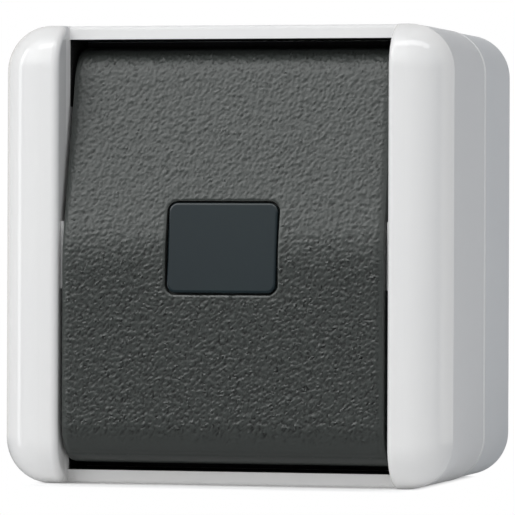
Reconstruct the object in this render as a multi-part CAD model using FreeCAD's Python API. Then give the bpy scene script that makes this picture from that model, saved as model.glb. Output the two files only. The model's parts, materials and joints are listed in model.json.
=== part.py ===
import FreeCAD, Part
import math
import os

# Outdoor surface switch: +X to the right, the front faces -Y, the wall face lies on Y = 0, +Z is up.
# Driving dimensions in millimetres and degrees.

# Housing
case_width = 75.0
case_height = 75.0
case_depth = 51.5            # wall face to the front of the rails
base_depth = 22.0            # wall face to the seam
corner_radius = 7.5
wall = 2.4
back_wall = 2.5
back_edge_radius = 0.7
seam_chamfer = 0.35
seam_bead = 0.2              # the cover's rear edge stands proud of its sides
seam_bead_width = 0.6
base_inset = 0.15            # the base's sides lie inside the cover's
seam_lip = 1.2               # outer half of the base's rim, outside the cover's tongue
seam_clearance = 0.1
tongue_length = 2.0
gasket_thickness = 1.0

# Rails, well and bearings of the cover
rail_width = 9.95
strip_height = 2.2           # strips above and below the rocker
well_wall = 2.2
rail_radius = 7.5
rail_crease = 5.0            # depth of the crisp edge between a rail's crown and the side
rail_edge_radius = 1.2
rail_cavity_chamfer = 3.2
strip_setback = 6.8          # rails' front to the front of the strips above and below the rocker
strip_edge_radius = 0.7
end_seal = 0.6               # dark linings let into the well's end walls and round its corners
end_seal_setback = 0.7       # front of the strips above and below to the front edge of these seals
end_seal_leg = 11.0          # their run along the side walls
end_seal_fit = 0.05
floor_setback = 18.0         # rails' front to the well's floor
floor_thickness = 2.0
pad_height = 11.0
pad_setback = 2.4
pad_clearance = 0.12

# Rocker
side_gap = 0.6
end_gap = 1.1
pivot_setback = 11.5         # rails' front to the rocker's axis
ridge_height = 11.0          # rocker's axis to the line where its two faces meet
rocker_swing = 14.0
ridge_radius = 27.0
end_radius = 6.5
skin = 2.2
rocker_side = 1.8
rocker_edge_radius = 0.8
skirt_length = 1.0           # how far the skirt reaches behind the axis
pivot_radius = 2.0
bearing_clearance = 0.05
hub_radius = 4.2
rocker_rib = 1.2
rib_spacing = 24.0

# Window in the rocker
window_width = 18.9
window_height = 15.4
window_corner = 1.8
window_gap = 0.35
window_depth = 2.6           # meeting line of the faces to the pocket's floor
lens_setback = 0.5           # meeting line of the faces to the window's flat front
lens_edge_radius = 0.4
label_thickness = 0.3
pocket_margin = 2.0
pocket_floor = 1.6

# Pushers, membrane and yoke
pusher_reach = 9.5           # rocker's axis to the pushers' tips
pusher_spacing = 13.0
pusher_thickness = 2.4
pusher_width = 10.0
membrane_thickness = 0.8
membrane_clearance = 0.1
membrane_wall = 1.1
membrane_flange = 2.2
flange_thickness = 0.6
pad_margin = 0.7
aperture_width = 17.4
aperture_height = 23.4
axis_spacing = 15.0          # rocker's axis to the yoke's axis
yoke_width = 10.0
yoke_length = 18.0
yoke_arm = 2.0
yoke_web = 11.2              # height of the web where it meets the arms
yoke_hub_radius = 2.6
yoke_pin_radius = 1.5
yoke_side_clearance = 0.2
sleeve_radius = 3.1
sleeve_length = 6.2
plunger_radius = 1.9
plunger_reach = 8.0          # yoke's axis to the centre of the plunger's round tip
plunger_length = 4.2
plunger_tip_radius = 0.8
plunger_clearance = 0.1
bore_end = 0.6               # how far the spring's bore passes in front of the yoke's axis
spring_wire = 0.5
spring_turns = 5
spring_steps = 10            # straight runs in one turn of the coil

# Contact lever and conductors
lever_swing = 12.0
lever_thickness = 1.0
lever_width = 5.0
ridge_pin_radius = 0.6
contact_spacing = 18.0
lever_margin = 1.5           # contacts' axes to the lever's ends
contact_radius = 1.4
contact_height = 0.6
contact_gap = 0.06
strip_thickness = 0.8
strip_width = 4.6
strip_corner = 0.75
terminal_size = 6.6
terminal_edge = 0.8
terminal_clearance = 0.5
wire_radius = 1.4
wire_height = 2.2            # a clamp's seat to the wire's axis
terminal_screw_radius = 1.3
terminal_screw_head = 1.9

# Switch insert
insert_width = 38.0
insert_height = 38.0
insert_back = 5.0            # wall face to the socket's back
insert_front = 3.0           # yoke's axis to the socket's rim
insert_wall = 1.6
insert_corner = 2.0
plate_thickness = 1.6
cheek_thickness = 2.0
cheek_radius = 3.0
lug_reach = 7.5
lug_width = 8.0
lug_thickness = 2.0
insert_screw_inset = 3.4
insert_post_radius = 2.6

# Screws, wall fixing and cable entries
screw_radius = 1.5
screw_head_radius = 2.7
screw_head_height = 1.8
screw_clearance = 0.05
screw_bite = 4.5
screw_head_chamfer = 0.45
drive_radius = 0.9
drive_slot = 0.22           # half width of each slot of the cross recess
drive_depth = 0.9
post_radius = 3.8
cover_screw_inset_x = 7.5
cover_screw_inset_z = 8.3
cover_screw_length = 14.0
boss_length = 2.0
fixing_inset = 7.5           # housing's outline to the wall-screw holes
fixing_radius = 2.3
fixing_collar_radius = 4.4
fixing_collar = 1.8
entry_setback = 12.0
entry_radius = 6.4
entry_flange_radius = 7.8
entry_flange = 1.05
entry_membrane = 0.8
entry_ring = 0.4
entry_dome_radius = 3.6
entry_wall = 1.1
entry_fit = 0.05
earth_width = 9.0
earth_length = 15.0
earth_height = 9.5
earth_inset_x = 9.5
earth_inset_z = 19.5
earth_wall = 1.4
panel_inset = 7.5            # housing's outline to the shallow panels in the back
panel_gap = 14.0             # between neighbouring panels
panel_corner = 3.0
panel_depth = 0.6

# Places that follow from them
front_y = -case_depth
seam_y = -base_depth
base_top = case_height / 2 - base_inset
strip_y = front_y + strip_setback
floor_y = front_y + floor_setback
floor_back_y = floor_y + floor_thickness
pivot_y = front_y + pivot_setback
yoke_y = pivot_y + axis_spacing
half_swing = rocker_swing / 2
tilt = math.radians(half_swing)
well_height = case_height - 2 * strip_height
half_well = case_width / 2 - rail_width
half_rocker = half_well - side_gap
rocker_length = well_height - 2 * end_gap
lever_length = contact_spacing + 2 * lever_margin
lever_tilt = math.radians(lever_swing / 2)
lever_y = yoke_y + plunger_reach + plunger_radius + plunger_clearance + lever_thickness
contact_depth = contact_height * math.cos(lever_tilt)
contact_throw = (contact_spacing / 2 + contact_radius) * math.sin(lever_tilt)
fixed_contact_y = lever_y + contact_depth + contact_throw + contact_gap
strip_plate_y = fixed_contact_y + contact_height
socket_floor_y = -insert_back - insert_wall
socket_rim_y = yoke_y + insert_front
plate_y = socket_rim_y - plate_thickness
yoke_front = axis_spacing * math.cos(tilt) - pusher_reach - membrane_thickness - 2 * membrane_clearance
terminal_offset = insert_width / 2 - insert_wall - terminal_clearance - terminal_size / 2
cover_screw_x = half_well - cover_screw_inset_x
cover_screw_z = well_height / 2 - cover_screw_inset_z
cover_screw_places = [(-cover_screw_x, cover_screw_z), (cover_screw_x, -cover_screw_z)]
lug_x = insert_width / 2 + lug_reach / 2
plate_screw_x = insert_width / 2 - insert_screw_inset
plate_screw_z = insert_height / 2 - insert_screw_inset
terminal_hole = terminal_screw_radius + screw_clearance
plate_screw_places = [(-plate_screw_x, plate_screw_z), (-plate_screw_x, -plate_screw_z)]
tiny = 1e-4
beyond = 2.0                 # how far cutting tools run past what they cut


def point(x, y, z):
    return FreeCAD.Vector(x, y, z)


def block(x, y, z):
    size = [high - low for low, high in (x, y, z)]
    return Part.makeBox(size[0], size[1], size[2], point(x[0], y[0], z[0]))


def rod_x(radius, x, y, z):
    return Part.makeCylinder(radius, x[1] - x[0], point(x[0], y, z), point(1, 0, 0))


def rod_y(radius, x, y, z):
    return Part.makeCylinder(radius, y[1] - y[0], point(x, y[0], z), point(0, 1, 0))


def edges_where(shape, test):
    return [edge for edge in shape.Edges if test(edge.BoundBox)]


def runs_along_y(box):
    return box.XLength < tiny and box.ZLength < tiny


def rounded_block(width, height, y, radius):
    solid = block((-width / 2, width / 2), y, (-height / 2, height / 2))
    return solid.makeFillet(radius, edges_where(solid, runs_along_y))


def shell_block(offset, y):
    # The housing's outline, moved inwards by an offset.
    return rounded_block(case_width - 2 * offset, case_height - 2 * offset, y, corner_radius - offset)


def front_edges(solid, y):
    return edges_where(solid, lambda box: box.YMax < y + tiny)


def back_edges(solid, y):
    return edges_where(solid, lambda box: box.YMin > y - tiny)


def crowned_block():
    # The housing's outline with its front edge rolled over, proud of the sides by the crease's margin.
    margin = rail_radius - math.sqrt(rail_radius ** 2 - (rail_radius - rail_crease) ** 2)
    grown = shell_block(-margin, (front_y, seam_y))
    return grown.makeFillet(rail_radius, front_edges(grown, front_y))


def both_sides(solid):
    return [solid, solid.mirror(point(0, 0, 0), point(1, 0, 0))]


def turned(solid, axis_y, degrees):
    copy = solid.copy()
    copy.rotate(point(0, axis_y, 0), point(1, 0, 0), degrees)
    return copy


def extruded_x(points, half_width):
    # A closed outline in the YZ plane: two points make a line, three an arc.
    edges = []
    for run in points:
        ends = [point(-half_width, y, z) for y, z in run]
        edges.append(Part.makeLine(*ends) if len(ends) == 2 else Part.Arc(*ends).toShape())
    return Part.Face(Part.Wire(edges)).extrude(point(2 * half_width, 0, 0))


def polygon_x(corners, half_width):
    return extruded_x(list(zip(corners, corners[1:] + corners[:1])), half_width)


def end_seal_block(fit):
    # One of the seals round the well's ends, or its seat when the fit is nil.
    end_z = well_height / 2
    outer = half_well + end_seal
    front = strip_y + end_seal_setback + fit
    seal = block((-outer, outer), (front, floor_y - fit), (end_z - end_seal_leg + fit, end_z + end_seal))
    return seal.cut(block((-half_well, half_well), (front_y, seam_y), (0, end_z)))


def above_and_below(solid):
    return [solid, solid.mirror(point(0, 0, 0), point(0, 0, 1))]


def end_seals():
    return Part.makeCompound(above_and_below(end_seal_block(end_seal_fit)))


def front_cover():
    low = -case_height
    high = case_height
    body = crowned_block()
    body = body.cut(block((-half_well, half_well), (front_y - beyond, strip_y), (low, high)))

    def on_rail_edge(box):
        return box.XLength < tiny and abs(abs(box.XMin) - half_well) < tiny and box.YMin < strip_y - tiny

    body = body.makeFillet(rail_edge_radius, edges_where(body, on_rail_edge))
    bead_y = seam_y - seam_bead_width
    bead_width = case_width + 2 * seam_bead
    bead = rounded_block(bead_width, case_height, (bead_y, seam_y), corner_radius)
    bead = bead.makeChamfer(seam_bead, front_edges(bead, bead_y))
    body = body.common(shell_block(0.0, (front_y, seam_y))).fuse(bead).removeSplitter()
    edge_y = strip_y + strip_edge_radius
    edge_z = case_height / 2 - strip_edge_radius
    round_off = block((-half_well, half_well), (strip_y, edge_y), (edge_z, high))
    round_off = round_off.cut(rod_x(strip_edge_radius, (-half_well, half_well), edge_y, edge_z))
    body = body.cut(above_and_below(round_off))
    well = block((-half_well, half_well), (front_y, floor_y), (-well_height / 2, well_height / 2))
    space = shell_block(wall, (front_y + wall, seam_y))
    space = space.makeChamfer(rail_cavity_chamfer, front_edges(space, front_y + wall))
    behind = space.common(block((-case_width, case_width), (floor_back_y, seam_y), (low, high)))
    hollow = block((half_well + well_wall, case_width), (front_y, floor_back_y), (low, high))
    hollows = both_sides(space.common(hollow))
    body = body.cut([well, behind] + hollows + above_and_below(end_seal_block(0.0)))

    pad = block((half_rocker + pad_clearance, half_well + tiny), (front_y + pad_setback, floor_y + tiny),
                (-pad_height / 2, pad_height / 2))
    body = body.fuse(both_sides(pad)).removeSplitter()
    reach = (half_rocker, half_well + well_wall + beyond)
    bearing = rod_x(pivot_radius + bearing_clearance, reach, pivot_y, 0)
    body = body.cut(both_sides(bearing))

    tongue = shell_block(seam_lip + seam_clearance, (seam_y - wall, seam_y + tongue_length))
    tongue = tongue.cut(shell_block(wall, (seam_y - wall - beyond, seam_y + tongue_length + beyond)))
    body = body.fuse(tongue).removeSplitter()

    through = (floor_y - beyond, floor_back_y + beyond)
    body = body.cut(rounded_block(aperture_width, aperture_height, through, insert_corner))
    for x, z in cover_screw_places:
        boss = rod_y(post_radius, x, (floor_back_y - tiny, floor_back_y + boss_length), z)
        hole = rod_y(screw_radius + screw_clearance, x, (floor_y - beyond, seam_y), z)
        sink = Part.makeCone(screw_head_radius + screw_clearance, screw_radius + screw_clearance,
                             screw_head_height, point(x, floor_y, z), point(0, 1, 0))
        body = body.fuse(boss).cut([hole, sink])
    return body.removeSplitter()


def base_box():
    body = shell_block(base_inset, (seam_y, 0.0))
    body = body.makeFillet(back_edge_radius, back_edges(body, 0.0))
    body = body.makeChamfer(seam_chamfer, front_edges(body, seam_y))
    rebate_end = seam_y + tongue_length + gasket_thickness
    body = body.cut([shell_block(wall, (seam_y - beyond, -back_wall)),
                     shell_block(seam_lip, (seam_y - beyond, rebate_end))])
    floor = -back_wall
    for x, z in cover_screw_places:
        post = rod_y(post_radius, x, (floor_back_y + boss_length, floor + tiny), z)
        body = body.fuse(post)
        hole_end = floor_y + screw_head_height + cover_screw_length + screw_radius
        body = body.cut(rod_y(screw_radius + screw_clearance, x, (floor_back_y, hole_end), z))
    for x in (-lug_x, lug_x):
        pillar = rod_y(post_radius, x, (-insert_back, floor + tiny), 0)
        hole = rod_y(screw_radius + screw_clearance, x, (-insert_back - beyond, -insert_back + screw_bite), 0)
        body = body.fuse(pillar).cut(hole)
    fixing_z = case_height / 2 - fixing_inset
    for z in (-fixing_z, fixing_z):
        collar = rod_y(fixing_collar_radius, 0, (floor - fixing_collar, floor + tiny), z)
        body = body.fuse(collar).cut(rod_y(fixing_radius, 0, (floor - fixing_collar - beyond, beyond), z))
    for end in (1, -1):
        up = point(0, 0, end)
        start = point(0, -entry_setback, end * (base_top - wall - beyond))
        hole = Part.makeCylinder(entry_radius, wall + 2 * beyond, start, up)
        start = point(0, -entry_setback, end * (base_top - entry_flange - entry_fit))
        seat = Part.makeCylinder(entry_flange_radius + entry_fit, beyond + entry_flange, start, up)
        body = body.cut([hole, seat])
    near = panel_gap / 2
    width = case_width / 2 - panel_inset - near
    height = case_height / 2 - panel_inset - near
    panel = rounded_block(width, height, (-panel_depth, beyond), panel_corner)
    panel.translate(point(near + width / 2, 0, near + height / 2))
    for panel in both_sides(panel):
        body = body.cut(above_and_below(panel))
    return body.removeSplitter()


def rim_gasket():
    y = (seam_y + tongue_length, seam_y + tongue_length + gasket_thickness)
    return shell_block(seam_lip + seam_clearance, y).cut(shell_block(wall, (y[0] - beyond, y[1] + beyond)))


def cable_grommet(end):
    # A stepped membrane between two flanges that grip the wall: radius and depth below the outer face.
    neck = entry_radius - entry_fit
    bore = neck - entry_wall
    step = entry_fit + entry_ring
    under = step + entry_membrane
    grip = wall - base_inset + entry_fit
    tail = grip + entry_flange
    outline = [(0, entry_fit), (entry_dome_radius, entry_fit), (entry_dome_radius + entry_ring, step),
               (bore, step), (bore + entry_ring, entry_fit), (entry_flange_radius, entry_fit),
               (entry_flange_radius, entry_fit + entry_flange), (neck, entry_fit + entry_flange),
               (neck, grip), (entry_flange_radius - entry_ring, grip), (neck, tail),
               (bore, tail), (bore, under), (0, under)]
    corners = [point(radius, -entry_setback, end * (base_top - depth)) for radius, depth in outline]
    face = Part.Face(Part.makePolygon(corners + corners[:1]))
    return face.revolve(point(0, -entry_setback, 0), point(0, 0, 1), 360)


def screw(x, z, head_y, length, head_radius=screw_head_radius, radius=screw_radius, countersunk=False):
    # A screw that points to the wall, with a cross recess in its head.
    if countersunk:
        head = Part.makeCone(head_radius, radius, screw_head_height, point(x, head_y, z), point(0, 1, 0))
    else:
        head = rod_y(head_radius, x, (head_y, head_y + screw_head_height), z)
        head = head.makeChamfer(screw_head_chamfer, front_edges(head, head_y))
    under = head_y + screw_head_height
    solid = head.fuse(rod_y(radius, x, (under - tiny, under + length), z))
    recess_y = (head_y - beyond, head_y + drive_depth)
    for wide, tall in ((drive_radius, drive_slot), (drive_slot, drive_radius)):
        solid = solid.cut(block((x - wide, x + wide), recess_y, (z - tall, z + tall)))
    return solid.removeSplitter()


def cover_screws():
    solids = [screw(x, z, floor_y, cover_screw_length, countersunk=True) for x, z in cover_screw_places]
    return Part.makeCompound(solids)


def rocker_prism(inset, back, half_width):
    # The rocker's section, moved inwards by an inset, along X; back is its depth behind the axis.
    slope = math.tan(tilt)
    end_z = rocker_length / 2 - end_radius
    end_y = -ridge_height + end_z * slope + end_radius / math.cos(tilt)
    apex = -ridge_height + inset / math.cos(tilt)
    radius = ridge_radius - inset
    run = radius * math.tan(tilt)
    top = radius * (1 / math.cos(tilt) - 1)
    bend = end_radius - inset
    turn = (math.pi / 2 - tilt) / 2

    def upper(sign):
        ridge = (apex + run * math.sin(tilt), sign * run * math.cos(tilt))
        start = (end_y - bend * math.cos(tilt), sign * (end_z + bend * math.sin(tilt)))
        middle = (end_y - bend * math.sin(turn), sign * (end_z + bend * math.cos(turn)))
        finish = (end_y, sign * (end_z + bend))
        edge = (back, sign * (end_z + bend))
        return ridge, start, middle, finish, edge

    ridge, start, middle, finish, edge = upper(1)
    ridge_low, start_low, middle_low, finish_low, edge_low = upper(-1)
    outline = [(edge_low, finish_low), (finish_low, middle_low, start_low), (start_low, ridge_low),
               (ridge_low, (apex + top, 0.0), ridge), (ridge, start), (start, middle, finish),
               (finish, edge), (edge, edge_low)]
    moved = [[(y + pivot_y, z) for y, z in part] for part in outline]
    return extruded_x(moved, half_width)


def rocker():
    body = rocker_prism(0.0, skirt_length, half_rocker)

    def on_side(box):
        side = box.XLength < tiny and abs(abs(box.XMin) - half_rocker) < tiny
        return side and box.YMin < pivot_y + skirt_length - tiny

    body = body.makeFillet(rocker_edge_radius, edges_where(body, on_side))
    space = rocker_prism(skin, skirt_length + beyond, half_rocker - rocker_side)
    body = body.cut(space)
    inner = half_rocker - rocker_side
    pocket_y = pivot_y - ridge_height + window_depth
    inside = rocker_prism(skin / 2, skirt_length, half_rocker)
    ribs = []
    for x in (-rib_spacing / 2, rib_spacing / 2):
        rib = block((x - rocker_rib / 2, x + rocker_rib / 2), (pivot_y - ridge_height, pivot_y - hub_radius),
                    (-rocker_length / 2, rocker_length / 2))
        ribs.append(rib.common(inside))
    carrier = rounded_block(window_width + 2 * pocket_margin, window_height + 2 * pocket_margin,
                            (pivot_y - ridge_height, pocket_y + pocket_floor), window_corner + pocket_margin)
    solids = ribs + [carrier.common(inside)]
    hub = rod_x(hub_radius, (inner, half_rocker), pivot_y, 0)
    pin = rod_x(pivot_radius, (inner, half_well + well_wall - side_gap), pivot_y, 0)
    solids += both_sides(hub) + both_sides(pin)
    half_width = pusher_width / 2
    tip = pusher_thickness / 2
    for z in (-pusher_spacing / 2, pusher_spacing / 2):
        tip_y = pivot_y + pusher_reach - tip
        solids.append(block((-half_width, half_width), (pocket_y, tip_y), (z - tip, z + tip)))
        solids.append(rod_x(tip, (-half_width, half_width), tip_y, z))
    body = body.fuse(solids)
    pocket = rounded_block(window_width, window_height, (front_y - beyond, pocket_y), window_corner)
    body = body.cut(pocket).removeSplitter()
    return turned(body, pivot_y, -half_swing)


def window_lens():
    # A flat plate that lies across the meeting line of the faces.
    front = pivot_y - ridge_height + lens_setback
    seat = pivot_y - ridge_height + window_depth - label_thickness
    lens = rounded_block(window_width - 2 * window_gap, window_height - 2 * window_gap, (front, seat),
                         window_corner - window_gap)
    lens = lens.makeFillet(lens_edge_radius, front_edges(lens, front))
    return turned(lens, pivot_y, -half_swing)


def label_card():
    floor = pivot_y - ridge_height + window_depth
    width = window_width - 4 * window_gap
    height = window_height - 4 * window_gap
    card = rounded_block(width, height, (floor - label_thickness, floor), window_corner - window_gap)
    return turned(card, pivot_y, -half_swing)


def rectangle(half_width, half_height, y, tilted):
    corners = [point(x, y, z) for x, z in ((-half_width, -half_height), (half_width, -half_height),
                                           (half_width, half_height), (-half_width, half_height))]
    wire = Part.makePolygon(corners + corners[:1])
    return turned(wire, pivot_y, -half_swing) if tilted else wire


def sealing_membrane():
    # A mat on the well's floor, with a boot whose bottom lies between the pushers and the yoke.
    rim_y = floor_y - flange_thickness
    half_width = aperture_width / 2 - seam_clearance
    half_height = aperture_height / 2 - seam_clearance
    pad_width = pusher_width / 2 + pad_margin
    pad_height_half = (pusher_spacing + pusher_thickness) / 2 + pad_margin
    pad_y = pivot_y + pusher_reach + membrane_clearance

    def tray(rim_inset, pad_grow, depth):
        rim = rectangle(half_width - rim_inset, half_height - rim_inset, rim_y, False)
        pad = rectangle(pad_width + pad_grow, pad_height_half + pad_grow, pad_y + depth, True)
        return Part.makeLoft([rim, pad], True, True)

    opening = tray(membrane_wall, 0.0, 0.0)
    body = tray(0.0, membrane_wall, membrane_thickness)
    body = body.common(rounded_block(2 * half_width, 2 * half_height, (rim_y, plate_y), insert_corner))
    mat_x = half_well - membrane_clearance
    mat_z = well_height / 2 - membrane_clearance
    front = block((-mat_x, mat_x), (rim_y, floor_y), (-mat_z, mat_z))
    through = (rim_y - beyond, floor_y + beyond)
    pad_z = pad_height / 2 + membrane_clearance
    relief = block((half_rocker + pad_clearance - membrane_clearance, half_well), through, (-pad_z, pad_z))
    holes = [rod_y(screw_head_radius + pad_margin, x, through, z) for x, z in cover_screw_places]
    front = front.cut(both_sides(relief) + holes)
    back_y = floor_back_y + seam_clearance
    collar = rounded_block(2 * half_width, 2 * half_height, (rim_y, back_y), insert_corner)
    back = rounded_block(aperture_width + membrane_flange, aperture_height + membrane_flange,
                         (back_y, back_y + flange_thickness), insert_corner + membrane_flange / 2)
    clear = rounded_block(2 * (half_width - membrane_wall), 2 * (half_height - membrane_wall),
                          (rim_y - beyond, floor_back_y + beyond), insert_corner - membrane_wall / 2)
    rim = front.fuse([collar, back]).cut(clear)
    return body.fuse(rim).cut(opening).removeSplitter()


def yoke():
    half_width = yoke_width / 2
    tip = yoke_arm / 2
    arm_y = yoke_y - yoke_front + tip
    reach = yoke_length / 2 - tip
    solids = [block((-half_width, half_width), (arm_y - tip, arm_y + tip), (-reach, reach))]
    solids += [rod_x(tip, (-half_width, half_width), arm_y, z) for z in (-reach, reach)]
    web = [(arm_y, -yoke_web / 2), (arm_y, yoke_web / 2),
           (yoke_y, yoke_hub_radius), (yoke_y, -yoke_hub_radius)]
    solids.append(polygon_x(web, half_width))
    pin_reach = half_width + yoke_side_clearance + cheek_thickness
    solids.append(rod_x(yoke_pin_radius, (-pin_reach, pin_reach), yoke_y, 0))
    solids.append(rod_x(yoke_hub_radius, (-half_width, half_width), yoke_y, 0))
    solids.append(rod_y(sleeve_radius, 0, (yoke_y, yoke_y + sleeve_length), 0))
    body = solids[0].fuse(solids[1:])
    depth = (yoke_y - bore_end, yoke_y + sleeve_length + beyond)
    bore = rod_y(plunger_radius + plunger_clearance, 0, depth, 0)
    return turned(body.cut(bore).removeSplitter(), yoke_y, -half_swing)


def plunger():
    tip_y = yoke_y + plunger_reach
    body = rod_y(plunger_radius, 0, (tip_y - plunger_length, tip_y), 0)
    start = point(0, tip_y, 0)
    body = body.fuse(Part.makeCone(plunger_radius, plunger_tip_radius, plunger_radius, start, point(0, 1, 0)))
    return turned(body, yoke_y, -half_swing)


def plunger_spring():
    # A coil of six-sided wire from the bore's end to the plunger's back.
    start = yoke_y - bore_end + spring_wire / 2
    finish = yoke_y + plunger_reach - plunger_length - spring_wire / 2
    radius = plunger_radius - spring_wire / 2
    steps = spring_turns * spring_steps
    sections = []
    for step in range(steps + 1):
        angle = math.tau * step / spring_steps
        along = start + (finish - start) * step / steps
        corners = []
        for corner in range(6):
            around = math.tau * corner / 6
            reach = radius + spring_wire / 2 * math.cos(around)
            offset = spring_wire / 2 * math.sin(around)
            corners.append(point(reach * math.cos(angle), along + offset, reach * math.sin(angle)))
        sections.append(Part.makePolygon(corners + corners[:1]))
    return turned(Part.makeLoft(sections, True, True), yoke_y, -half_swing)


def contact_lever():
    # A bar with a half-round groove that rocks on the bracket's round edge.
    half = lever_length / 2
    front = lever_y - lever_thickness
    edge = lever_thickness / 2
    outline = [((lever_y, -half), (front, -half + edge)), ((front, -half + edge), (front, half - edge)),
               ((front, half - edge), (lever_y, half)), ((lever_y, half), (lever_y, -half))]
    body = extruded_x(outline, lever_width / 2)
    groove = rod_x(ridge_pin_radius + bearing_clearance, (-lever_width, lever_width), lever_y, 0)
    return turned(body.cut(groove), lever_y, lever_swing / 2)


def lever_contacts():
    places = (-contact_spacing / 2, contact_spacing / 2)
    solids = [rod_y(contact_radius, 0, (lever_y, lever_y + contact_height), z) for z in places]
    return turned(Part.makeCompound(solids), lever_y, lever_swing / 2)


def common_bracket():
    half = lever_width / 2
    foot_y = socket_floor_y - strip_thickness
    blade = block((-half, half), (lever_y, socket_floor_y), (-ridge_pin_radius, ridge_pin_radius))
    edge = rod_x(ridge_pin_radius, (-half, half), lever_y, 0)
    foot = block((-terminal_offset - terminal_size / 2, half), (foot_y, socket_floor_y),
                 (-strip_width / 2, strip_width / 2))
    foot = foot.makeFillet(strip_corner, edges_where(foot, runs_along_y))
    return foot.fuse([blade, edge]).removeSplitter()


def contact_strip(side):
    z = side * contact_spacing / 2
    width = strip_width / 2
    plate = block((-width, terminal_offset + terminal_size / 2),
                  (strip_plate_y, strip_plate_y + strip_thickness), (z - width, z + width))
    return plate.makeFillet(strip_corner, edges_where(plate, runs_along_y))


def fixed_contacts():
    y = (fixed_contact_y, strip_plate_y)
    places = (-contact_spacing / 2, contact_spacing / 2)
    return Part.makeCompound([rod_y(contact_radius, 0, y, z) for z in places])


def terminal_places():
    # Centre of each wire clamp and the plane that it stands on.
    return {"common_terminal": (-terminal_offset, 0.0, socket_floor_y - strip_thickness),
            "upper_terminal": (terminal_offset, contact_spacing / 2, strip_plate_y),
            "lower_terminal": (terminal_offset, -contact_spacing / 2, strip_plate_y)}


def wire_clamp(x, z, seat_y, length):
    half = terminal_size / 2
    body = block((x - half, x + half), (seat_y - terminal_size, seat_y), (z - length / 2, z + length / 2))
    return body.makeFillet(terminal_edge, edges_where(body, runs_along_y))


def terminal(name):
    x, z, seat_y = terminal_places()[name]
    body = wire_clamp(x, z, seat_y, terminal_size)
    wire_y = seat_y - wire_height
    wire = rod_x(wire_radius, (x - terminal_size, x + terminal_size), wire_y, z)
    thread = rod_y(terminal_hole, x, (seat_y - terminal_size - beyond, wire_y), z)
    return body.cut([wire, thread])


def clamp_screw(x, z, seat_y):
    head_y = seat_y - terminal_size - screw_head_height
    length = terminal_size - wire_height - wire_radius
    return screw(x, z, head_y, length, terminal_screw_head, terminal_screw_radius)


def terminal_screws():
    return Part.makeCompound([clamp_screw(*place) for place in terminal_places().values()])


def insert_socket():
    body = rounded_block(insert_width, insert_height, (socket_rim_y, -insert_back), insert_corner)
    lug_y = (-insert_back - lug_thickness, -insert_back)
    for side in (-1, 1):
        lug = rounded_block(2 * lug_reach, lug_width, lug_y, insert_corner)
        lug.translate(point(side * insert_width / 2, 0, 0))
        body = body.fuse(lug)
    space = rounded_block(insert_width - 2 * insert_wall, insert_height - 2 * insert_wall,
                          (socket_rim_y - beyond, socket_floor_y), insert_corner - insert_wall / 2)
    body = body.cut(space)
    inner = insert_width / 2 - insert_wall
    half = strip_width / 2
    solids = []
    for z in (-contact_spacing / 2, contact_spacing / 2):
        solids.append(block((-half, inner + tiny), (strip_plate_y + strip_thickness, socket_floor_y + tiny),
                            (z - half, z + half)))
    for x, z in plate_screw_places:
        solids.append(rod_y(insert_post_radius, x, (socket_rim_y, socket_floor_y + tiny), z))
    body = body.fuse(solids)
    tools = []
    for x in (-lug_x, lug_x):
        tools.append(rod_y(screw_radius + screw_clearance, x, (socket_rim_y, -insert_back + beyond), 0))
    for x, z in plate_screw_places:
        tools.append(rod_y(terminal_hole, x, (socket_rim_y - beyond, socket_floor_y - beyond), z))
    for x, z, seat_y in terminal_places().values():
        start = inner - beyond if x > 0 else -inner - 2 * insert_wall
        run = (start, start + beyond + 2 * insert_wall)
        tools.append(rod_x(wire_radius, run, seat_y - wire_height, z))
    return body.cut(tools).removeSplitter()


def insert_cover():
    body = rounded_block(insert_width, insert_height, (plate_y, socket_rim_y), insert_corner)
    inner = yoke_width / 2 + yoke_side_clearance
    through = (plate_y - beyond, socket_rim_y + beyond)
    body = body.cut(rounded_block(2 * inner, 2 * (sleeve_radius + yoke_arm), through, insert_corner / 2))
    cheek = rod_x(cheek_radius, (inner, inner + cheek_thickness), yoke_y, 0)
    foot = block((inner, inner + cheek_thickness), (yoke_y, plate_y + tiny), (-cheek_radius, cheek_radius))
    body = body.fuse(both_sides(cheek.fuse(foot)))
    bearing = rod_x(yoke_pin_radius + bearing_clearance, (0, inner + cheek_thickness + beyond), yoke_y, 0)
    tools = both_sides(bearing)
    for x, z, seat_y in terminal_places().values():
        tools.append(rod_y(terminal_screw_head + yoke_side_clearance, x, through, z))
    for x, z in plate_screw_places:
        tools.append(rod_y(terminal_hole, x, through, z))
    return body.cut(tools).removeSplitter()


def insert_cover_screws():
    length = plate_thickness + screw_bite
    solids = [screw(x, z, plate_y - screw_head_height, length, terminal_screw_head, terminal_screw_radius)
              for x, z in plate_screw_places]
    return Part.makeCompound(solids)


def insert_screws():
    head_y = -insert_back - lug_thickness - screw_head_height
    length = lug_thickness + screw_bite - screw_clearance
    return Part.makeCompound([screw(x, 0, head_y, length) for x in (-lug_x, lug_x)])


def earth_place():
    return earth_inset_x - case_width / 2, case_height / 2 - earth_inset_z, -back_wall - earth_wall


def earth_terminal_body():
    x, z, seat_y = earth_place()
    outer = rounded_block(earth_width, earth_length, (-back_wall - earth_height, -back_wall), earth_wall)
    space = rounded_block(terminal_size + 2 * screw_clearance, earth_length - 2 * earth_wall,
                          (-back_wall - earth_height - beyond, seat_y), earth_wall / 2)
    body = outer.cut(space)
    wire = Part.makeCylinder(wire_radius, earth_length + 2 * beyond,
                             point(0, seat_y - wire_height, -earth_length / 2 - beyond), point(0, 0, 1))
    body = body.cut(wire)
    body.translate(point(x, 0, z))
    return body


def earth_screw_places():
    x, z, seat_y = earth_place()
    return [(x, z - terminal_size / 2, seat_y), (x, z + terminal_size / 2, seat_y)]


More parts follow.
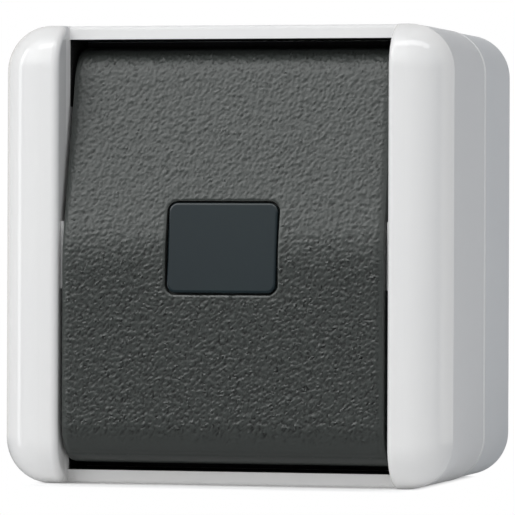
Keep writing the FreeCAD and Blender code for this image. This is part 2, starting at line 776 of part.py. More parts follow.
def earth_terminal_block():
    x, z, seat_y = earth_place()
    length = earth_length - 2 * earth_wall - 2 * screw_clearance
    body = wire_clamp(x, z, seat_y, length)
    wire_y = seat_y - wire_height
    start = point(x, wire_y, z - earth_length / 2)
    wire = Part.makeCylinder(wire_radius, earth_length, start, point(0, 0, 1))
    depth = (seat_y - 2 * terminal_size, wire_y)
    threads = [rod_y(terminal_hole, place[0], depth, place[1]) for place in earth_screw_places()]
    return body.cut([wire] + threads)


def earth_terminal_screws():
    return Part.makeCompound([clamp_screw(*place) for place in earth_screw_places()])


nodes = {
    "base_box": base_box(),
    "front_cover": front_cover(),
    "end_seals": end_seals(),
    "rim_gasket": rim_gasket(),
    "cable_grommet_top": cable_grommet(1),
    "cable_grommet_bottom": cable_grommet(-1),
    "cover_screws": cover_screws(),
    "rocker": rocker(),
    "window_lens": window_lens(),
    "label_card": label_card(),
    "sealing_membrane": sealing_membrane(),
    "yoke": yoke(),
    "plunger": plunger(),
    "plunger_spring": plunger_spring(),
    "contact_lever": contact_lever(),
    "lever_contacts": lever_contacts(),
    "common_bracket": common_bracket(),
    "upper_contact_strip": contact_strip(1),
    "lower_contact_strip": contact_strip(-1),
    "fixed_contacts": fixed_contacts(),
    "common_terminal": terminal("common_terminal"),
    "upper_terminal": terminal("upper_terminal"),
    "lower_terminal": terminal("lower_terminal"),
    "terminal_screws": terminal_screws(),
    "insert_socket": insert_socket(),
    "insert_cover": insert_cover(),
    "insert_cover_screws": insert_cover_screws(),
    "insert_screws": insert_screws(),
    "earth_terminal_body": earth_terminal_body(),
    "earth_terminal_block": earth_terminal_block(),
    "earth_terminal_screws": earth_terminal_screws(),
}

os.makedirs("parts", exist_ok=True)
for name, shape in nodes.items():
    shape.exportStep("parts/" + name + ".step")
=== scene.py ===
import json
import math
import bpy
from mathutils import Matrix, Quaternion, Vector, noise


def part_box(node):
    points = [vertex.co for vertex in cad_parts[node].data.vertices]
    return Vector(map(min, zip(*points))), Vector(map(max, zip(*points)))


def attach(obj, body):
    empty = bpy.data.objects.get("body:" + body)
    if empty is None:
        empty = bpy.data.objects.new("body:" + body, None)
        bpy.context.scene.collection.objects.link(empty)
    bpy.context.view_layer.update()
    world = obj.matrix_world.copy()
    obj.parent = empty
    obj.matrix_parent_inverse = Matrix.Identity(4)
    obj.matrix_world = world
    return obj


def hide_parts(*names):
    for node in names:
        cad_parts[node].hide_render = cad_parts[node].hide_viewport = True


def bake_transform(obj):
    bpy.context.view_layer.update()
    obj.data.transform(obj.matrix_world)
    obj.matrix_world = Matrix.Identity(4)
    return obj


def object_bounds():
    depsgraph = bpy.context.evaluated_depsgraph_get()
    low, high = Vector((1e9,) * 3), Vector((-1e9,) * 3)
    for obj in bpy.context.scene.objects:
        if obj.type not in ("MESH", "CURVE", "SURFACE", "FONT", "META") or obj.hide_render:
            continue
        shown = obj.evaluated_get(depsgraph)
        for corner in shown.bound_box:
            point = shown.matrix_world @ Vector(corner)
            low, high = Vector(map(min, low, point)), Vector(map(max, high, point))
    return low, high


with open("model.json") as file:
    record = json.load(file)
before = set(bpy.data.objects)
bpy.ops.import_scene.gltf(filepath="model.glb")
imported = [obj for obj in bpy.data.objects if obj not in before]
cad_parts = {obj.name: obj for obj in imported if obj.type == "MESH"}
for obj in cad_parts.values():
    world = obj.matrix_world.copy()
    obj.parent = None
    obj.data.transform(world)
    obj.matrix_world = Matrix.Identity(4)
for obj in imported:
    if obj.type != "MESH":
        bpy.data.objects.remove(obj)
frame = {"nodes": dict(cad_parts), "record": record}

cadLow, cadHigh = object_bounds()
nodes = frame["nodes"]
mm = 0.001
middle = (cadLow + cadHigh) / 2
halfSize = (cadHigh - cadLow) / 2
print("frame:", len(nodes), "nodes")

# Socket numbers of two nodes, and the range that holds most values of a noise texture
fromLow, fromHigh, toLow, toHigh = 1, 2, 3, 4  # Map Range
numberA, numberB, colourA, colourB, colourOut = 2, 3, 6, 7, 2  # Mix
noiseLow, noiseHigh = 0.3, 0.7


def linearColour(hexText):  # sRGB hex to linear, with full alpha
    parts = [int(hexText[i:i + 2], 16) / 255 for i in (1, 3, 5)]
    return [c / 12.92 if c <= 0.04045 else ((c + 0.055) / 1.055) ** 2.4 for c in parts] + [1.0]


def addNode(tree, kind, settings={}, values={}, links={}):
    node = tree.nodes.new("ShaderNode" + kind)
    for name, value in settings.items():
        setattr(node, name, value)
    for name, value in values.items():
        node.inputs[name].default_value = value
    for name, source in links.items():
        tree.links.new(source, node.inputs[name])
    return node


def startFinish(name, roughness, ior=1.5, metallic=0.0):
    material = bpy.data.materials.new(name)
    material.use_nodes = True
    tree = material.node_tree
    shader = tree.nodes["Principled BSDF"]
    shader.inputs["Roughness"].default_value = roughness
    shader.inputs["IOR"].default_value = ior
    shader.inputs["Metallic"].default_value = metallic
    place = addNode(tree, "TexCoord").outputs["Object"]
    return material, tree, shader, place


def perMetre(sizeMm):  # texture scale for a pattern of this size
    return 1 / (sizeMm * mm)


# UV-stable ASA of the housing, moulded: the rails come polished from the mould, the flanks and the rear box fine matt.
# The eye gets a clean highlight on the crowns and a soft even grey on the sides.
polishedMould = {"roughness": 0.04, "sheen": 0.5, "bump": 0.01}
fineMattMould = {"roughness": 0.7, "sheen": 0.06, "bump": 0.12}
coverSpec = {
    "name": "AsaCoverPolishedRails", "colour": "#D8D8D7", "colourDeep": "#D5D5D5", "driftMm": 22.0,
    "gritMm": 0.3, "gritDepth": 0.2,  # real grit is finer, drawn coarser to show; depth as a share of its size
    "surface": polishedMould, "clouded": 0.08,  # roughness where the polish is least clear
    "behindCrease": fineMattMould, "creaseMm": (-46.55, -46.45),
}
baseSpec = {
    "name": "AsaBaseFineMatt", "colour": "#D4D5D5", "colourDeep": "#D1D2D3", "driftMm": 22.0,
    "gritMm": 0.3, "gritDepth": 0.2, "surface": fineMattMould,
}


def housingFinish(spec):
    surface = spec["surface"]
    material, tree, shader, place = startFinish(spec["name"], surface["roughness"])
    shader.inputs["Specular IOR Level"].default_value = surface["sheen"]
    drift = addNode(tree, "TexNoise", {}, {"Scale": perMetre(spec["driftMm"]), "Detail": 2.0}, {"Vector": place})
    tint = addNode(tree, "Mix", {"data_type": "RGBA"},
                   {colourA: linearColour(spec["colour"]), colourB: linearColour(spec["colourDeep"])},
                   {0: drift.outputs["Fac"]})
    tree.links.new(tint.outputs[colourOut], shader.inputs["Base Color"])
    grit = addNode(tree, "TexNoise", {}, {"Scale": perMetre(spec["gritMm"]), "Detail": 3.0}, {"Vector": place})
    bump = addNode(tree, "Bump", {},
                   {"Distance": spec["gritMm"] * mm * spec["gritDepth"], "Strength": surface["bump"]},
                   {"Height": grit.outputs["Fac"]})
    tree.links.new(bump.outputs[0], shader.inputs["Normal"])
    if "behindCrease" in spec:  # two surfaces on one piece, parted at the depth of the rails' crease
        matt = spec["behindCrease"]
        depth = addNode(tree, "SeparateXYZ", {}, {}, {0: place}).outputs["Y"]
        behind = addNode(tree, "MapRange", {},
                         {fromLow: spec["creaseMm"][0] * mm, fromHigh: spec["creaseMm"][1] * mm}, {0: depth})
        cloud = addNode(tree, "MapRange", {}, {fromLow: noiseLow, fromHigh: noiseHigh, toLow: surface["roughness"],
                                               toHigh: spec["clouded"]}, {0: drift.outputs["Fac"]})
        rough = addNode(tree, "Mix", {"data_type": "FLOAT"}, {numberB: matt["roughness"]},
                        {0: behind.outputs[0], numberA: cloud.outputs[0]})
        sheen = addNode(tree, "Mix", {"data_type": "FLOAT"}, {numberA: surface["sheen"], numberB: matt["sheen"]},
                        {0: behind.outputs[0]})
        strength = addNode(tree, "Mix", {"data_type": "FLOAT"}, {numberA: surface["bump"], numberB: matt["bump"]},
                           {0: behind.outputs[0]})
        tree.links.new(rough.outputs[0], shader.inputs["Roughness"])
        tree.links.new(sheen.outputs[0], shader.inputs["Specular IOR Level"])
        tree.links.new(strength.outputs[0], bump.inputs["Strength"])
    return material


# Dark thermoplastic from an etched mould: a leather grain of slanting pebbles, 0.3 by 0.8 mm, satin on the crests.
# The eye gets a lively dark face whose pits stay dull and are painted darker as shade, satin plain edges, and rounded
# ends that shine less.
rockerSpec = {
    # the pit colour is painted shade in the grain's pits
    "colour": "#373B39", "pitShadeColour": "#181A19", "roughness": 0.35, "ior": 1.61, "pitRoughness": 0.65,
    "endRoughness": 0.52, "endsMm": (28.5, 31.5),  # how far up and down from the middle the ends begin and are reached
    "fineMm": 0.3, "fineDepth": 0.2, "fineBump": 0.25,  # drawn coarser than the real etching, to show
}


def rockerFinish(spec):
    material, tree, shader, place = startFinish("GrainedAnthraciteThermoplastic", spec["roughness"], spec["ior"])
    pit = addNode(tree, "Attribute", {"attribute_name": "pit"}).outputs["Fac"]
    # painted shade: the grain's pits are darkened towards the pit colour by their depth
    tint = addNode(tree, "Mix", {"data_type": "RGBA"},
                   {colourA: linearColour(spec["colour"]), colourB: linearColour(spec["pitShadeColour"])}, {0: pit})
    tree.links.new(tint.outputs[colourOut], shader.inputs["Base Color"])
    dull = addNode(tree, "MapRange", {}, {toLow: spec["roughness"], toHigh: spec["pitRoughness"]}, {0: pit})
    height = addNode(tree, "SeparateXYZ", {}, {}, {0: place}).outputs["Z"]
    reach = addNode(tree, "Math", {"operation": "ABSOLUTE"}, {}, {0: height})
    ends = addNode(tree, "MapRange", {}, {fromLow: spec["endsMm"][0] * mm, fromHigh: spec["endsMm"][1] * mm},
                   {0: reach.outputs[0]})
    matt = addNode(tree, "Mix", {"data_type": "FLOAT"}, {numberB: spec["endRoughness"]},
                   {0: ends.outputs[0], numberA: dull.outputs[0]})
    tree.links.new(matt.outputs[0], shader.inputs["Roughness"])
    fine = addNode(tree, "TexNoise", {}, {"Scale": perMetre(spec["fineMm"]), "Detail": 2.0}, {"Vector": place})
    bump = addNode(tree, "Bump", {},
                   {"Distance": spec["fineMm"] * mm * spec["fineDepth"], "Strength": spec["fineBump"]},
                   {"Height": fine.outputs["Fac"]})
    tree.links.new(bump.outputs[0], shader.inputs["Normal"])
    return material


# Smoke-tinted clear polycarbonate, moulded, over a dark film: smooth and only just satin.
# The eye gets a deep blue-grey with soft reflections.
windowSpec = {"colour": "#1D272A", "colourDeep": "#1B2428", "roughness": 0.07, "ior": 1.5,
              "hazeMm": 6.0, "hazeDepthMm": 0.02, "hazeBump": 0.05}


def windowFinish(spec):
    material, tree, shader, place = startFinish("SmokedPolycarbonateMoulded", spec["roughness"], spec["ior"])
    haze = addNode(tree, "TexNoise", {}, {"Scale": perMetre(spec["hazeMm"]), "Detail": 1.0}, {"Vector": place})
    tint = addNode(tree, "Mix", {"data_type": "RGBA"},
                   {colourA: linearColour(spec["colour"]), colourB: linearColour(spec["colourDeep"])},
                   {0: haze.outputs["Fac"]})
    tree.links.new(tint.outputs[colourOut], shader.inputs["Base Color"])
    bump = addNode(tree, "Bump", {}, {"Distance": spec["hazeDepthMm"] * mm, "Strength": spec["hazeBump"]},
                   {"Height": haze.outputs["Fac"]})
    tree.links.new(bump.outputs[0], shader.inputs["Normal"])
    return material


# Plain moulded, drawn or pressed pieces inside: a speckle of filler or grit, faint in colour and bump.
# The eye gets dull rubber, creamy plastics, and metals with a soft uneven shine.
innerSpecs = {
    "seal_rubber": {"name": "MouldedSealRubber", "colour": "#1D1D1D", "colourDeep": "#252525",
                    "roughness": 0.7, "speckMm": 0.4, "bump": 0.2},
    "grommet_rubber": {"name": "MouldedGreyGrommetRubber", "colour": "#B9BCBC", "colourDeep": "#AFB2B3",
                       "roughness": 0.6, "speckMm": 0.5, "bump": 0.2},
    "screw_steel": {"name": "ZincPlatedSteel", "colour": "#C3C3BE", "colourDeep": "#A9ACAD",
                    "roughness": 0.32, "metallic": 1.0, "speckMm": 0.6, "bump": 0.1},
    "label_film": {"name": "PlainDarkFilm", "colour": "#1E2326", "colourDeep": "#22272A",
                   "roughness": 0.5, "speckMm": 1.0, "bump": 0.05},
    "insert_thermoset": {"name": "MouldedThermosetCream", "colour": "#DAD7CC", "colourDeep": "#CFCBBE",
                         "roughness": 0.45, "speckMm": 0.3, "bump": 0.15},
    "insert_nylon": {"name": "MouldedPolyamide", "colour": "#E4E2D8", "colourDeep": "#D9D6C9",
                     "roughness": 0.4, "speckMm": 0.8, "bump": 0.1},
    "spring_steel": {"name": "DrawnSpringSteel", "colour": "#B5B5B4", "colourDeep": "#979897",
                     "roughness": 0.28, "metallic": 1.0, "speckMm": 0.3, "bump": 0.1},
    "conductor_brass": {"name": "StampedBrass", "colour": "#C9A65C", "colourDeep": "#B8934A",
                        "roughness": 0.3, "metallic": 1.0, "speckMm": 0.7, "bump": 0.1},
    "contact_silver": {"name": "SilverContactRivet", "colour": "#D9D8D3", "colourDeep": "#C6C5C0",
                       "roughness": 0.25, "metallic": 1.0, "speckMm": 0.4, "bump": 0.08},
}
innerWear = {"smoothest": 0.8, "roughest": 1.2, "speckDepth": 0.1}  # shares of the roughness and of the speck's size


def innerFinish(spec):
    material, tree, shader, place = startFinish(spec["name"], spec["roughness"], metallic=spec.get("metallic", 0.0))
    speck = addNode(tree, "TexNoise", {}, {"Scale": perMetre(spec["speckMm"]), "Detail": 4.0}, {"Vector": place})
    tint = addNode(tree, "Mix", {"data_type": "RGBA"},
                   {colourA: linearColour(spec["colour"]), colourB: linearColour(spec["colourDeep"])},
                   {0: speck.outputs["Fac"]})
    tree.links.new(tint.outputs[colourOut], shader.inputs["Base Color"])
    wear = addNode(tree, "MapRange", {},
                   {fromLow: noiseLow, fromHigh: noiseHigh, toLow: spec["roughness"] * innerWear["smoothest"],
                    toHigh: spec["roughness"] * innerWear["roughest"]}, {0: speck.outputs["Fac"]})
    tree.links.new(wear.outputs[0], shader.inputs["Roughness"])
    bump = addNode(tree, "Bump", {},
                   {"Distance": spec["speckMm"] * mm * innerWear["speckDepth"], "Strength": spec["bump"]},
                   {"Height": speck.outputs["Fac"]})
    tree.links.new(bump.outputs[0], shader.inputs["Normal"])
    return material


finishes = {slot: innerFinish(spec) for slot, spec in innerSpecs.items()}
finishes["cover_grey"] = housingFinish(coverSpec)
finishes["housing_grey"] = housingFinish(baseSpec)
finishes["rocker_anthracite"] = rockerFinish(rockerSpec)
finishes["window_smoke"] = windowFinish(windowSpec)
slotOf = {part["node"]: part["material_slot"] for part in frame["record"]["subparts"]}
for name, piece in nodes.items():
    piece.data.materials.clear()
    piece.data.materials.append(finishes[slotOf[name]])
print("finishes:", len(finishes))

# Grained face of the rocker, fitted over the solid: a closed skin whose border sinks into the plain edges.
# Sizes in mm; each pair is where a ramp starts and where it is complete.
grainSpec = {
    "halfWidth": 26.75, "low": -32.6, "high": 33.5, "cell": 0.207, "start": 5.0,  # start: how far in front it is added
    "window": (9.5, -6.45, 8.9), "corner": 1.85,  # half width, lowest and highest edge, corner radius
    "snapCells": 1.5, "slopeStep": 0.01, "evenSteps": 10,  # for the window's outline and for smoothing over the solid
    "lift": 0.276, "root": 0.3,  # height of the crests over the solid, depth of the border's skirt
    "borderRise": (0.0, 1.1), "windowRise": (-0.1, 0.25),
    "shallowShare": 0.34, "shallowFrom": (-4.0, 8.0), "shallowUpTo": (31.5, 29.0),  # etched less deeply above the ridge
    "fadeLow": (-33.6, -27.0), "fadeHigh": (33.5, 33.0), "fadeSide": (26.65, 26.2), "fadeWindow": (0.12, 0.4),
    "patch": 0.5, "patchMiddle": 0.8, "patchSwing": 0.4,  # some grooves run out, so the pits are short
    "slant": 34.0, "stretch": 2.4, "pebble": 0.315, "pebbleGain": 5.0, "groove": 0.19,
    "wrinkle": 0.315, "wrinkleContrast": 2.0, "wrinkleRelief": 0.17,
    "pitFrom": 0.3, "smoothAngle": 50.0,  # share of the groove's depth at which the finish turns dull and the painted pit shade begins
}


def ramp(value, start, end):  # smooth 0 to 1 from start to end
    part = min(max((value - start) / (end - start), 0.0), 1.0)
    return part * part * (3 - 2 * part)


def windowGap(x, z, spec):  # distance outside the window's rounded outline, negative within
    half, low, high = spec["window"]
    dx = abs(x) - half + spec["corner"]
    dz = abs(z - (low + high) / 2) - (high - low) / 2 + spec["corner"]
    return math.hypot(max(dx, 0.0), max(dz, 0.0)) + min(max(dx, dz), 0.0) - spec["corner"]


def chooseFaces(piece, test):  # leaves edit mode on, with just these faces selected
    bpy.ops.object.mode_set(mode="EDIT")
    bpy.ops.mesh.select_mode(type="FACE")
    bpy.ops.mesh.select_all(action="DESELECT")
    bpy.ops.object.mode_set(mode="OBJECT")
    for face in piece.data.polygons:
        face.select = test(face.center / mm)
    bpy.ops.object.mode_set(mode="EDIT")


def chooseBorder():
    bpy.ops.mesh.select_mode(type="EDGE")
    bpy.ops.mesh.select_all(action="DESELECT")
    bpy.ops.mesh.select_non_manifold()


def relief(piece, name, kind, settings, holder, depth, level):  # one layer of the grain, pressed into the face
    texture = bpy.data.textures.new(name, kind)
    for key, value in settings.items():
        setattr(texture, key, value)
    layer = piece.modifiers.new(name, "DISPLACE")
    layer.texture = texture
    layer.texture_coords = "OBJECT"
    layer.texture_coords_object = holder
    layer.strength = depth * mm
    layer.mid_level = level
    layer.vertex_group = "grain"
    bpy.ops.object.modifier_apply(modifier=name)


def grainSkin(spec):
    width, height = 2 * spec["halfWidth"], spec["high"] - spec["low"]
    columns, rows = round(width / spec["cell"]), round(height / spec["cell"])
    start = (0, cadLow.y - spec["start"] * mm, (spec["low"] + spec["high"]) / 2 * mm)
    bpy.ops.object.select_all(action="DESELECT")
    bpy.ops.mesh.primitive_grid_add(x_subdivisions=columns, y_subdivisions=rows, size=mm, location=start,
                                    rotation=(math.pi / 2, 0, 0))
    skin = bpy.context.object
    skin.name = "rockerGrainSkin"
    skin.scale = (width, height, 1)
    bpy.ops.object.transform_apply(location=True, rotation=True, scale=True)
    chooseFaces(skin, lambda centre: windowGap(centre.x, centre.z, spec) < 0)
    bpy.ops.mesh.delete(type="FACE")
    chooseBorder()
    bpy.ops.object.mode_set(mode="OBJECT")
    step = spec["slopeStep"]
    for vertex in skin.data.vertices:  # draws the hole's stepped edge onto the window's outline
        x, z = vertex.co.x / mm, vertex.co.z / mm
        gap = windowGap(x, z, spec)
        if vertex.select and abs(gap) < spec["cell"] * spec["snapCells"]:
            vertex.co.x -= gap * (windowGap(x + step, z, spec) - gap) / step * mm
            vertex.co.z -= gap * (windowGap(x, z + step, spec) - gap) / step * mm
    wrap = skin.modifiers.new("onRocker", "SHRINKWRAP")
    wrap.target = nodes["rocker"]
    wrap.wrap_method = "PROJECT"
    wrap.use_project_y = True
    bpy.ops.object.modifier_apply(modifier="onRocker")
    even = skin.modifiers.new("even", "SMOOTH")
    even.use_x = even.use_z = False
    even.iterations = spec["evenSteps"]
    bpy.ops.object.modifier_apply(modifier="even")
    raised = skin.vertex_groups.new(name="raised")
    grain = skin.vertex_groups.new(name="grain")
    for vertex in skin.data.vertices:
        x, z = vertex.co.x / mm, vertex.co.z / mm
        gap = windowGap(x, z, spec)
        border = min(spec["halfWidth"] - abs(x), z - spec["low"], spec["high"] - z)
        depth = 1 - spec["shallowShare"] * ramp(z, *spec["shallowFrom"]) * ramp(z, *spec["shallowUpTo"])
        rise = min(ramp(border, *spec["borderRise"]), ramp(gap, *spec["windowRise"]))
        raised.add([vertex.index], rise * depth, "REPLACE")
        fade = min(ramp(z, *spec["fadeLow"]), ramp(z, *spec["fadeHigh"]), ramp(abs(x), *spec["fadeSide"]),
                   ramp(gap, *spec["fadeWindow"]))
        patch = spec["patchMiddle"] + spec["patchSwing"] * noise.noise(vertex.co / (spec["patch"] * mm))
        grain.add([vertex.index], fade * min(patch, 1.0) * depth, "REPLACE")
    lift = skin.modifiers.new("lift", "DISPLACE")
    lift.strength = spec["lift"] * mm
    lift.mid_level = 0.0
    lift.vertex_group = "raised"
    bpy.ops.object.modifier_apply(modifier="lift")
    plain = [vertex.co.y for vertex in skin.data.vertices]
    bpy.ops.object.empty_add(rotation=(0, math.radians(spec["slant"]), 0))
    holder = bpy.context.object
    holder.scale = (mm, mm, mm * spec["stretch"])
    bpy.context.view_layer.update()
    bpy.ops.object.select_all(action="DESELECT")
    skin.select_set(True)
    bpy.context.view_layer.objects.active = skin
    pebbles = {"weight_1": -1.0, "weight_2": 1.0, "noise_scale": spec["pebble"], "noise_intensity": spec["pebbleGain"]}
    wrinkles = {"noise_scale": spec["wrinkle"], "noise_depth": 1, "contrast": spec["wrinkleContrast"]}
    relief(skin, "pebbles", "VORONOI", pebbles, holder, spec["groove"], 1.0)  # only inwards, between the pebbles
    relief(skin, "wrinkles", "CLOUDS", wrinkles, holder, spec["wrinkleRelief"], 0.5)  # inwards and outwards alike
    bpy.data.objects.remove(holder)
    deep = spec["groove"] * mm
    depth = [ramp(vertex.co.y - y, spec["pitFrom"] * deep, deep) for vertex, y in zip(skin.data.vertices, plain)]
    bpy.ops.object.mode_set(mode="EDIT")
    chooseBorder()
    bpy.ops.mesh.extrude_region_move(TRANSFORM_OT_translate={"value": (0, spec["root"] * mm, 0)})
    bpy.ops.mesh.fill(use_beauty=False)
    bpy.ops.mesh.select_all(action="SELECT")
    bpy.ops.mesh.normals_make_consistent(inside=False)
    bpy.ops.object.mode_set(mode="OBJECT")
    # groove depth per point: it dulls the finish and paints shade into the pits
    pit = skin.data.attributes.new("pit", "FLOAT", "POINT")
    pit.data.foreach_set("value", depth + [0.0] * (len(skin.data.vertices) - len(depth)))
    bpy.ops.object.shade_smooth_by_angle(angle=math.radians(spec["smoothAngle"]))
    skin.data.materials.append(finishes["rocker_anthracite"])
    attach(skin, "rocker")
    return skin


rockerSkin = grainSkin(grainSpec)
print("rocker grain:", len(rockerSkin.data.polygons), "faces")

# Rubber seal under the rocker: mat and collar stay in the well's floor, the boot's bottom is drawn at the rocker's lean
# at rest.
# Half sizes of mouth and bottom, the bottom's distance from the rocker's axis and its lean at rest, in mm and degrees.
sealSpec = {"opening": (7.5, 10.5), "openingDepth": 15.0, "gap": 0.05, "bottom": (6.7, 9.4), "axis": -40.0,
            "reach": 10.38, "lean": -7.0, "wall": 0.75, "soft": 0.25, "softSteps": 3, "bend": (-33.4, -32.4),
            "merge": 0.001, "smoothAngle": 40.0}


def sealRim(spec):
    rim = bpy.data.objects.new("sealRim", nodes["sealing_membrane"].data.copy())
    bpy.context.collection.objects.link(rim)
    bpy.ops.object.select_all(action="DESELECT")
    bpy.ops.mesh.primitive_cube_add(size=2 * mm, location=(0, spec["bend"][0] * mm, 0))
    mouth = bpy.context.object
    mouth.scale = (spec["opening"][0], spec["openingDepth"], spec["opening"][1])
    bpy.ops.object.select_all(action="DESELECT")
    rim.select_set(True)
    bpy.context.view_layer.objects.active = rim
    bpy.ops.object.mode_set(mode="EDIT")
    bpy.ops.mesh.select_all(action="SELECT")
    bpy.ops.mesh.remove_doubles(threshold=spec["merge"] * mm)
    bpy.ops.object.mode_set(mode="OBJECT")
    cut = rim.modifiers.new("mouth", "BOOLEAN")
    cut.object = mouth
    cut.operation = "DIFFERENCE"
    bpy.ops.object.modifier_apply(modifier="mouth")
    bpy.data.objects.remove(mouth)
    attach(rim, "housing")
    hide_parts("sealing_membrane")
    return rim


def sealBoot(spec):
    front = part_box("sealing_membrane")[0].y / mm + spec["gap"]
    lean = Quaternion((1, 0, 0), math.radians(spec["lean"]))
    axis = Vector((0, spec["axis"], 0))
    mouth = [half - spec["gap"] for half in spec["opening"]]
    bpy.ops.object.select_all(action="DESELECT")
    bpy.ops.mesh.primitive_cube_add(size=2)
    boot = bpy.context.object
    boot.name = "sealBoot"
    for vertex in boot.data.vertices:
        across, inwards, up = vertex.co
        if inwards > 0:
            place = lean @ Vector((across * spec["bottom"][0], spec["reach"], up * spec["bottom"][1])) + axis
        else:
            place = Vector((across * mouth[0], front, up * mouth[1]))
        vertex.co = place * mm
    chooseFaces(boot, lambda centre: centre.y < front + spec["gap"])
    bpy.ops.mesh.delete(type="FACE")
    bpy.ops.object.mode_set(mode="OBJECT")
    wall = boot.modifiers.new("wall", "SOLIDIFY")
    wall.thickness = spec["wall"] * mm
    wall.use_even_offset = True
    bpy.ops.object.modifier_apply(modifier="wall")
    soft = boot.modifiers.new("soft", "BEVEL")
    soft.width = spec["soft"] * mm
    soft.segments = spec["softSteps"]
    bpy.ops.object.modifier_apply(modifier="soft")
    bpy.ops.object.shade_smooth_by_angle(angle=math.radians(spec["smoothAngle"]))
    boot.data.materials.append(finishes["seal_rubber"])
    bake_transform(boot)
    return boot


sealPieces = sealRim(sealSpec), sealBoot(sealSpec)
print("rocker seal:", [len(piece.data.polygons) for piece in sealPieces], "faces")

# Pale floor: white to the eye and matt to the light; around the foot it is matt to the eye too and keeps the shadow.
# It glows a little onto the object, as a light table does.
floorSpec = {"size": 6.0, "grey": "#FAFAFA", "shadowReachMm": (4.0, 7.0), "cornerMm": 8.5, "glow": 0.115}


def floorFinish(spec):
    material = bpy.data.materials.new("PaleStudioFloor")
    material.use_nodes = True
    tree = material.node_tree
    tree.nodes.clear()
    sideways, forwards = (reach * mm for reach in spec["shadowReachMm"])
    outside = addNode(tree, "TexCoord").outputs["Object"]
    for operation, amount in (  # from the place to the distance outside the foot, in reaches of the shadow
            ("SUBTRACT", (middle.x, middle.y - forwards / 2, 0)), ("ABSOLUTE", (0, 0, 0)),
            ("SUBTRACT", (halfSize.x - spec["cornerMm"] * mm, halfSize.y - forwards / 2, 0)),
            ("MAXIMUM", (0, 0, 0)), ("DIVIDE", (sideways, forwards, 1))):
        outside = addNode(tree, "VectorMath", {"operation": operation}, {1: amount}, {0: outside}).outputs[0]
    reach = addNode(tree, "VectorMath", {"operation": "LENGTH"}, {}, {0: outside})
    far = addNode(tree, "MapRange", {"interpolation_type": "SMOOTHSTEP"}, {}, {0: reach.outputs["Value"]})
    toCamera = addNode(tree, "LightPath").outputs["Is Camera Ray"]
    seen = addNode(tree, "Math", {"operation": "MULTIPLY"}, {}, {0: toCamera, 1: far.outputs[0]})
    matt = addNode(tree, "BsdfDiffuse", {}, {"Color": linearColour(spec["grey"])})
    under = addNode(tree, "MapRange", {}, {toLow: spec["glow"], toHigh: 0.0}, {0: toCamera})
    table = addNode(tree, "Emission", {}, {"Color": (1, 1, 1, 1)}, {"Strength": under.outputs[0]})
    lit = addNode(tree, "AddShader", {}, {}, {0: matt.outputs[0], 1: table.outputs[0]})
    white = addNode(tree, "Emission", {}, {"Color": (1, 1, 1, 1), "Strength": 1.0})
    both = addNode(tree, "MixShader", {}, {}, {0: seen.outputs[0], 1: lit.outputs[0], 2: white.outputs[0]})
    addNode(tree, "OutputMaterial", {}, {}, {"Surface": both.outputs[0]})
    return material


bpy.ops.object.select_all(action="DESELECT")
bpy.ops.mesh.primitive_plane_add(size=floorSpec["size"], location=(0, 0, cadLow.z))
floor = bpy.context.object
floor.name = "studioFloor"
floor.data.materials.append(floorFinish(floorSpec))
floor.visible_glossy = False
print("floor:", floorSpec["size"], "m")

# Light tent: dim in front, pale overhead, faint round the back; reflections see most of it brighter than it lights.
# Strengths are 1 for white. The pairs of limits are sideways, forwards or upwards parts of a direction.
worldSpec = {
    "front": 0.1, "above": 0.9, "aboveReflected": (2.4, 0.85), "back": 0.18, "backReflected": (0.7, 1.4),
    "colour": "#FFFFFF", "backColour": "#C8DCFA", "backReflectedColour": "#FFFAF2",
    "aboveFrom": (0.1, 0.45), "aboveAcross": (-0.45, -0.05),  # upwards, and from left to right
    "backFrom": (-0.16, -0.12), "backUpFrom": (-0.1, -0.04), "backAcross": (-0.1, 0.1),
}


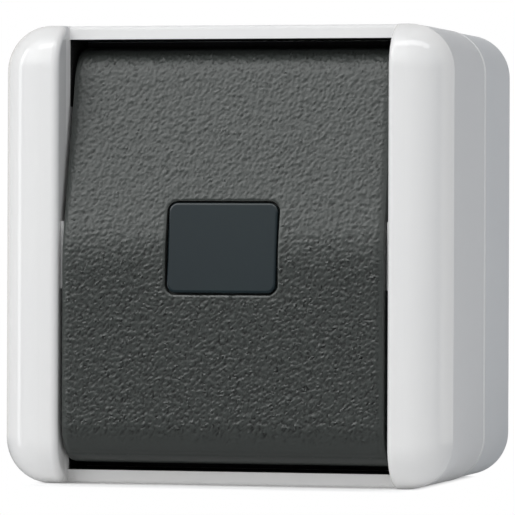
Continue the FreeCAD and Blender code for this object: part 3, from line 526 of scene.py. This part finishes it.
def studioWorld(spec):
    world = bpy.data.worlds.new("whiteStudio")
    world.use_nodes = True
    tree = world.node_tree
    tree.nodes.clear()
    split = addNode(tree, "SeparateXYZ", {}, {}, {0: addNode(tree, "TexCoord").outputs["Object"]})
    path = addNode(tree, "LightPath")
    glossy = path.outputs["Is Glossy Ray"]
    sides = addNode(tree, "MapRange", {}, {fromLow: spec["backAcross"][0], fromHigh: spec["backAcross"][1],
                                           toLow: spec["backReflected"][0], toHigh: spec["backReflected"][1]},
                    {0: split.outputs["X"]})
    back = addNode(tree, "MapRange", {}, {toLow: spec["back"]}, {0: glossy, toHigh: sides.outputs[0]})
    mirrored = addNode(tree, "MapRange", {}, {fromLow: spec["aboveAcross"][0], fromHigh: spec["aboveAcross"][1],
                                              toLow: spec["aboveReflected"][0], toHigh: spec["aboveReflected"][1]},
                       {0: split.outputs["X"]})
    above = addNode(tree, "MapRange", {}, {toLow: spec["above"]}, {0: glossy, toHigh: mirrored.outputs[0]})
    high = addNode(tree, "MapRange", {"interpolation_type": "SMOOTHSTEP"},
                   {fromLow: spec["aboveFrom"][0], fromHigh: spec["aboveFrom"][1], toLow: spec["front"]},
                   {0: split.outputs["Z"], toHigh: above.outputs[0]})
    rear = addNode(tree, "MapRange", {}, {fromLow: spec["backFrom"][0], fromHigh: spec["backFrom"][1]},
                   {0: split.outputs["Y"]})
    raised = addNode(tree, "MapRange", {}, {fromLow: spec["backUpFrom"][0], fromHigh: spec["backUpFrom"][1]},
                     {0: split.outputs["Z"]})
    behind = addNode(tree, "Math", {"operation": "MULTIPLY"}, {}, {0: rear.outputs[0], 1: raised.outputs[0]})
    strength = addNode(tree, "Mix", {"data_type": "FLOAT"}, {},
                       {0: behind.outputs[0], numberA: high.outputs[0], numberB: back.outputs[0]})
    backTint = addNode(tree, "Mix", {"data_type": "RGBA"},
                       {colourA: linearColour(spec["backColour"]), colourB: linearColour(spec["backReflectedColour"])},
                       {0: glossy})
    tint = addNode(tree, "Mix", {"data_type": "RGBA"}, {colourA: linearColour(spec["colour"])},
                   {0: behind.outputs[0], colourB: backTint.outputs[colourOut]})
    fill = addNode(tree, "Background", {}, {}, {"Color": tint.outputs[colourOut], "Strength": strength.outputs[0]})
    white = addNode(tree, "Background", {}, {"Color": (1, 1, 1, 1), "Strength": 1.0})
    both = addNode(tree, "MixShader", {}, {},
                   {0: path.outputs["Is Camera Ray"], 1: fill.outputs[0], 2: white.outputs[0]})
    addNode(tree, "OutputWorld", {}, {}, {"Surface": both.outputs[0]})
    return world


bpy.context.scene.world = studioWorld(worldSpec)
print("world:", bpy.context.scene.world.name)

# Azimuth from the front towards the right and elevation in degrees, distance, width and height in metres, radiance
lampSpecs = {
    "keySoftbox": (-30, 32, 0.95, 0.45, 0.6, 3.74),
    "overheadSoftbox": (11, 64, 0.85, 1.1, 0.2, 3.35),
    "leftStrip": (-76, 12, 0.8, 0.14, 0.85, 2.5),
}


def direction(azimuth, elevation):
    a, e = math.radians(azimuth), math.radians(elevation)
    return Vector((math.sin(a) * math.cos(e), -math.cos(a) * math.cos(e), math.sin(e)))


for name, (azimuth, elevation, distance, width, height, radiance) in lampSpecs.items():
    lamp = bpy.data.lights.new(name, "AREA")
    lamp.shape = "RECTANGLE"
    lamp.size = width
    lamp.size_y = height
    lamp.energy = radiance * math.pi * width * height
    holder = bpy.data.objects.new(name, lamp)
    bpy.context.scene.collection.objects.link(holder)
    away = direction(azimuth, elevation)
    holder.location = middle + away * distance
    holder.rotation_euler = away.to_track_quat("Z", "Y").to_euler()
    holder.visible_camera = False
    holder.visible_glossy = name != "keySoftbox"  # the key is diffused, so the rails show no square of it
print("lamps:", len(lampSpecs))

# Angles in degrees, distance and near limit in metres, lens and sensor in mm
cameraSpec = {"azimuth": 14.318, "elevation": 0.379, "roll": 0.223, "distance": 0.8, "lens": 335.1, "sensor": 36.0,
              "near": 0.01, "aimMm": (-0.496, -25.127, -0.459)}
camera = bpy.data.objects.new("photoCamera", bpy.data.cameras.new("photoCamera"))
bpy.context.scene.collection.objects.link(camera)
away = direction(cameraSpec["azimuth"], cameraSpec["elevation"])
camera.location = Vector(cameraSpec["aimMm"]) * mm + away * cameraSpec["distance"]
turn = away.to_track_quat("Z", "Y") @ Quaternion((0, 0, 1), math.radians(cameraSpec["roll"]))
camera.rotation_euler = turn.to_euler()
camera.data.lens = cameraSpec["lens"]
camera.data.sensor_width = cameraSpec["sensor"]
camera.data.clip_start = cameraSpec["near"]
bpy.context.scene.camera = camera
bpy.context.scene.view_settings.view_transform = "Standard"
print("camera placed")

bpy.context.view_layer.update()
